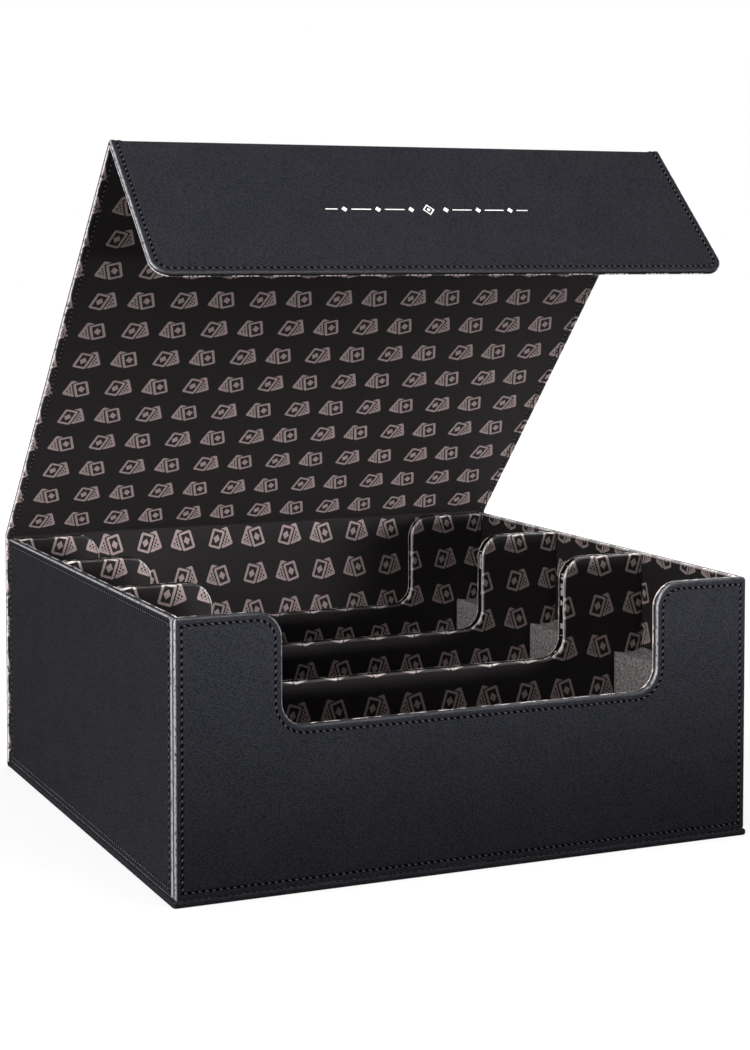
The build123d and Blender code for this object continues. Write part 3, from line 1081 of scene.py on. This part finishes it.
class CARDBOX_OT_spacers(bpy.types.Operator):
    """Cuts the foam blocks"""
    bl_idname = "card_box.spacers"
    bl_label = "Spacers"

    def execute(self, context):
        for row in ("front", "middle", "rear"):
            self.block(row, context.scene.card_box_foam.dish)
        return {"FINISHED"}

    def block(self, row, dish):
        low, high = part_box(f"{row}_spacer_block")
        size, centre = high - low, (low + high) / 2
        counts = [max(4, round(s / foam_step)) for s in size]
        points, index, faces = [], {}, []

        def point(key):
            if key not in index:
                index[key] = len(points)
                unit = [a / n * 2 - 1 for a, n in zip(key, counts)]
                points.append(self.soft_point(unit, centre, size, dish))
            return index[key]

        for axis in range(3):
            b, c = (axis + 1) % 3, (axis + 2) % 3
            for end in (0, counts[axis]):
                for j, k in ((j, k) for j in range(counts[b]) for k in range(counts[c])):
                    quad = []
                    for dj, dk in ((0, 0), (1, 0), (1, 1), (0, 1)):
                        key = {axis: end, b: j + dj, c: k + dk}
                        quad.append(point((key[0], key[1], key[2])))
                    faces.append(quad if end else quad[::-1])
        piece = add_piece(f"{row}_spacer_foam", points, faces, "Foam", f"{row}_spacer",
                          sharp=foam_crease_angle)
        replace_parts(piece, f"{row}_spacer_block")

    def soft_point(self, unit, centre, size, dish):
        """A place on the cut block: softly rounded edges, a dished top with a crease near one end. Unit
        runs from -1 to 1 along each side of the block."""
        deepest, crease_place, crease_width, crease_depth = -0.15, -0.8, 0.14, mm(0.5)
        rough_size, rough_depth, pinch_depth = mm(7), mm(0.18), mm(0.3)
        spot = Vector([u * s / 2 for u, s in zip(unit, size)])
        core = Vector([max(-s / 2 + foam_edge_r, min(s / 2 - foam_edge_r, p)) for p, s in zip(spot, size)])
        away = spot - core
        if away.length > foam_edge_r:
            spot = core + away.normalized() * foam_edge_r
        if unit[2] > 0:
            lift = unit[2] ** 6
            spot.z -= lift * dish * (1 - (unit[0] - deepest) ** 2) * (0.6 + 0.4 * unit[1])
            crease = math.exp(-((unit[0] - crease_place) / crease_width) ** 2)
            spot.z -= lift * crease_depth * crease * max(0.0, 0.6 - unit[1]) / 1.6
        rough = noise.noise((centre + spot) / rough_size) * rough_depth
        pinch = pinch_depth * (1 - unit[1] ** 2) * (1 - unit[2] ** 2)
        spot.x -= (pinch + abs(rough)) * unit[0]
        return centre + spot


class CARDBOX_OT_ornament(bpy.types.Operator):
    """Puts a small row of pale foil lozenges on the flap"""
    bl_idname = "card_box.ornament"
    bl_label = "Foil ornament"

    def execute(self, context):
        lift = mm(0.06)                       # half the foil's thickness
        tall = 1.2                            # a lozenge's height for its width
        points, faces = [], []

        def shape(corners):
            first, n = len(points), len(corners)
            for height in (lift, -lift):
                points.extend(put(places["ornament"], [(x, y, height) for x, y in corners]))
            faces.append([first + i for i in range(n)])
            faces.append([first + n + i for i in range(n - 1, -1, -1)])
            for i in range(n):
                j = (i + 1) % n
                faces.append([first + j, first + i, first + n + i, first + n + j])

        def lozenge(x, half):
            shape([(x + half, 0), (x, half * tall), (x - half, 0), (x, -half * tall)])

        def bar(x0, x1, half):
            shape([(x1, half), (x0, half), (x0, -half), (x1, -half)])

        def ring(half, width):
            for a, b in ((1, 1), (-1, 1), (-1, -1), (1, -1)):
                inner = half - width
                p = [(a * half, 0), (0, b * half * tall), (0, b * inner * tall), (a * inner, 0)]
                shape(p if a * b > 0 else p[::-1])

        ring(mm(3.0), mm(0.8))
        lozenge(0, mm(1.0))
        for side in (1, -1):
            for step in (9, 26, 43):
                lozenge(side * mm(step), mm(1.5))
            for start, end in ((12.5, 22.5), (29.5, 39.5), (46.5, 52.5)):
                bar(*sorted((side * mm(start), side * mm(end))), mm(0.3))
        add_piece("flap_ornament", points, faces, "Pale foil", "flap", sharp=foil_crease_angle)
        return {"FINISHED"}


class CARDBOX_OT_inner_parts(bpy.types.Operator):
    """Gives the boards, the magnets, their plates and the floor lining their finishes"""
    bl_idname = "card_box.inner_parts"
    bl_label = "Inner parts"

    def execute(self, context):
        finishes = {"floor_lining": "Printed floor lining", "flap_magnets": "Plated steel",
                    "closure_plates": "Plated steel"}
        for name, node in frame["nodes"].items():
            material = "Greyboard" if name.endswith("_board") else finishes.get(name)
            if material:
                node.data.materials.clear()
                node.data.materials.append(finish(material))
        return {"FINISHED"}


class CARDBOX_OT_stage(bpy.types.Operator):
    """Sets the floor, the lights, the background and the camera"""
    bl_idname = "card_box.stage"
    bl_label = "Stage"

    # Place, width and height, watts, and for a beam its target and its spread in degrees
    beam = ((0.04, -0.14, 0.15), 14)
    lamps = {
        "left_softbox": ((-1.5, -0.45, 0.63), (0.8, 0.5), 20.5),
        "low_left_strip": ((-1.25, -0.3, 0.11), (0.5, 0.16), 4.6),
        "top_softbox": ((-0.1, -0.22, 1.25), (1.3, 0.2), 18),
        "right_beam": ((0.62, -1.3, 0.15), (0.5, 0.1), 0.15, *beam),
        "middle_beam": ((0.2, -1.3, 0.15), (0.5, 0.1), 0.3, *beam),
        "rear_softbox": ((1.3, 1.5, 1.1), (1.3, 1.0), 38),
    }

    def execute(self, context):
        context.scene.view_settings.view_transform = "Standard"
        self.floor()
        self.world(context.scene)
        for name, values in self.lamps.items():
            self.lamp(name, *values)
        self.camera(context.scene)
        return {"FINISHED"}

    def floor(self):
        half, speckles_a_metre = 6.0, 60.0
        grey, dark, light = (0.18, 0.18, 0.18), (0.17, 0.17, 0.17), (0.19, 0.19, 0.19)
        near, far, near_glow = 0.3, 1.5, 0.78  # the glow grows to white from near the box to far from it
        mesh = bpy.data.meshes.new("floor")
        corners = [(x * half, y * half, 0) for x, y in ((-1, -1), (1, -1), (1, 1), (-1, 1))]
        mesh.from_pydata(corners, [], [(0, 1, 2, 3)])
        floor = bpy.data.objects.new("floor", mesh)
        bpy.context.scene.collection.objects.link(floor)
        nodes, shader = new_material("Pale floor", grey, 0.8)
        tone = nodes.mix(nodes.noise(nodes.place(), speckles_a_metre), shade(dark), shade(light))
        away = nodes.ramp(nodes.vector("LENGTH", nodes.place()), near, far, near_glow, 1.0)
        nodes.feed(shader, Base_Color=tone, Specular_IOR_Level=0.0, Emission_Color=(1, 1, 1, 1),
                   Emission_Strength=nodes.times(nodes.background_rays(), away))
        mesh.materials.append(bpy.data.materials["Pale floor"])

    def world(self, scene):
        """White where it is seen, and faint as light on the box."""
        faint = 0.15
        scene.world = bpy.data.worlds.new("Studio")
        scene.world.use_nodes = True
        nodes = Nodes(scene.world.node_tree)
        background = scene.world.node_tree.nodes["Background"].inputs
        strength = nodes.ramp(nodes.background_rays(), 0.0, 1.0, faint, 1.0)
        nodes.feed(background, Color=(1, 1, 1, 1), Strength=strength)

    def lamp(self, name, spot, size, watts, target=(0, 0, 0.12), spread=180):
        data = bpy.data.lights.new(name, "AREA")
        data.shape = "RECTANGLE"
        data.size, data.size_y = size
        data.energy = watts
        data.spread = math.radians(spread)
        lamp = bpy.data.objects.new(name, data)
        lamp.location = spot
        lamp.visible_camera = False
        lamp.rotation_euler = (Vector(target) - Vector(spot)).to_track_quat("-Z", "Y").to_euler()
        bpy.context.scene.collection.objects.link(lamp)

    def camera(self, scene):
        studio = scene.card_box_studio
        picture_height = 1050
        data = bpy.data.cameras.new("camera")
        data.lens = studio.focal_pixels * data.sensor_width / picture_height
        data.shift_y = (studio.horizon_row - picture_height / 2) / picture_height
        camera = bpy.data.objects.new("camera", data)
        camera.location = studio.camera_place
        level, down = Vector((math.sin(studio.turn), math.cos(studio.turn), 0)), math.tan(studio.tilt)
        camera.rotation_euler = (level - UP * down).to_track_quat("-Z", "Y").to_euler()
        scene.collection.objects.link(camera)
        scene.camera = camera


class CARDBOX_PT_panel(bpy.types.Panel):
    """Lists the pieces of the box and their settings"""
    bl_label = "Card box"
    bl_idname = "CARDBOX_PT_panel"
    bl_space_type = "VIEW_3D"
    bl_region_type = "UI"
    bl_category = "Card box"

    def draw(self, context):
        for operator in STEPS:
            self.layout.operator(operator.bl_idname)
        for key, group in SETTINGS.items():
            box = self.layout.box()
            for name in group.__annotations__:
                box.prop(getattr(context.scene, key), name)


STEPS = (CARDBOX_OT_stage, CARDBOX_OT_tray, CARDBOX_OT_cover, CARDBOX_OT_folds, CARDBOX_OT_stitching,
         CARDBOX_OT_spacers, CARDBOX_OT_ornament, CARDBOX_OT_inner_parts)


def register():
    for group in (*SETTINGS.values(), *STEPS, CARDBOX_PT_panel):
        bpy.utils.register_class(group)
    for key, group in SETTINGS.items():
        setattr(bpy.types.Scene, key, bpy.props.PointerProperty(type=group))


def unregister():
    for key in SETTINGS:
        delattr(bpy.types.Scene, key)
    for group in (CARDBOX_PT_panel, *reversed(STEPS), *reversed(SETTINGS.values())):
        bpy.utils.unregister_class(group)


def main():
    register()
    bpy.ops.card_box.stage()
    bpy.ops.card_box.tray()
    bpy.ops.card_box.cover()
    bpy.ops.card_box.folds()
    bpy.ops.card_box.stitching()
    bpy.ops.card_box.spacers()
    bpy.ops.card_box.ornament()
    bpy.ops.card_box.inner_parts()


if __name__ == "__main__":
    main()
